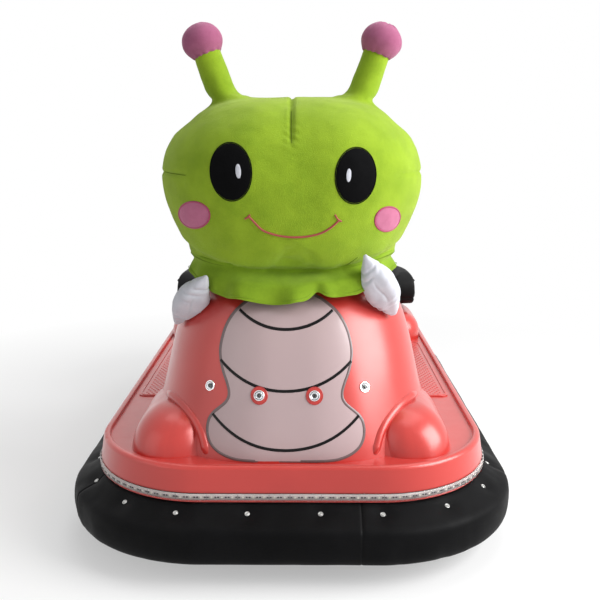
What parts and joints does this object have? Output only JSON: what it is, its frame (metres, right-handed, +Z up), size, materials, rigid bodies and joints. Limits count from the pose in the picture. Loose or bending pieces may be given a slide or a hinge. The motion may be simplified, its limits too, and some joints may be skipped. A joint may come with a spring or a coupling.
{
  "type": "bumper car",
  "caption": "Small battery bumper car for one child: pink moulded body in a black foam bumper, steered front drive wheel, padded seat and a plush bug head on the cowl.",
  "frame": {"origin": "on the floor under the middle of the bumper's outline", "axes": "the front faces -Y, +X is to the right for a viewer who stands in front of the car and looks along +Y, +Z is up"},
  "size_m": [0.784, 1.25, 0.896],
  "materials": {
    "pink_shell": "pearl gloss",
    "black_leathercloth": "satin grain",
    "green_plush": "short pile",
    "pink_plush": "short pile",
    "white_plush": "smooth",
    "green_cloth": "thin pile",
    "light_sleeve": "silicone",
    "clear_lens": "clear",
    "frame_steel": "satin black",
    "bright_steel": "zinc",
    "tyre_rubber": "matte",
    "hub_plastic": "matte",
    "motor_metal": "cast",
    "black_plastic": "matte",
    "mat_rubber": "ribbed",
    "battery_case": "matte"
  },
  "bodies": {
    "car": {"antenna_balls": "pink_plush", "antenna_stalks": "green_plush", "backrest_pad": "black_leathercloth", "batteries": "battery_case", "battery_tray": "frame_steel", "bulkhead": "black_plastic", "bumper_bands": "frame_steel", "bumper_bars": "frame_steel", "bumper_ring": "black_leathercloth", "collar": "green_cloth", "column_bearing": "black_plastic", "cowl_shell": "pink_shell", "dash_panel": "black_plastic", "deck_shell": "pink_shell", "foot_pedal": "black_plastic", "footwell_mat": "mat_rubber", "footwell_tray": "pink_shell", "frame_cross_tubes": "frame_steel", "frame_rail_left": "frame_steel", "frame_rail_right": "frame_steel", "lamp_lenses": "clear_lens", "light_strip": "light_sleeve", "mitt_left": "white_plush", "mitt_right": "white_plush", "plush_head": "green_plush", "rear_axle": "bright_steel", "rear_axle_blocks": "frame_steel", "seat_cushion": "black_leathercloth", "seat_moulding": "pink_shell", "shell_posts": "frame_steel", "speed_controller": "motor_metal", "steering_beam": "frame_steel", "steering_box": "motor_metal"},
    "drive_fork": {"drive_fork": "bright_steel"},
    "drive_wheel": {"drive_tyre": "tyre_rubber", "drive_motor_drum": "motor_metal"},
    "rear_wheel_left": {"rear_tyre_left": "tyre_rubber", "rear_hub_left": "hub_plastic"},
    "rear_wheel_right": {"rear_tyre_right": "tyre_rubber", "rear_hub_right": "hub_plastic"},
    "hand_wheel": {"steering_wheel": "black_plastic", "steering_column": "bright_steel"}
  },
  "joints": [
    {"name": "fork_steer", "type": "hinge", "parent": "car", "child": "drive_fork", "pos_m": [0, -0.38548, 0.17], "axis": [0, 0, 1], "range_deg": [-60, 60]},
    {"name": "drive_wheel_spin", "type": "hinge", "parent": "drive_fork", "child": "drive_wheel", "pos_m": [0, -0.38548, 0.075], "axis": [1, 0, 0], "continuous": true},
    {"name": "rear_wheel_left_spin", "type": "hinge", "parent": "car", "child": "rear_wheel_left", "pos_m": [-0.256, 0.38327, 0.0625], "axis": [1, 0, 0], "continuous": true},
    {"name": "rear_wheel_right_spin", "type": "hinge", "parent": "car", "child": "rear_wheel_right", "pos_m": [0.256, 0.38327, 0.0625], "axis": [1, 0, 0], "continuous": true},
    {"name": "hand_wheel_turn", "type": "hinge", "parent": "car", "child": "hand_wheel", "pos_m": [0, 0.06, 0.44], "axis": [0, 0.903, 0.4297], "range_deg": [-60, 60]}
  ],
  "couplings": [
    {"joint": "hand_wheel_turn", "follows": "fork_steer", "ratio": 1}
  ]
}
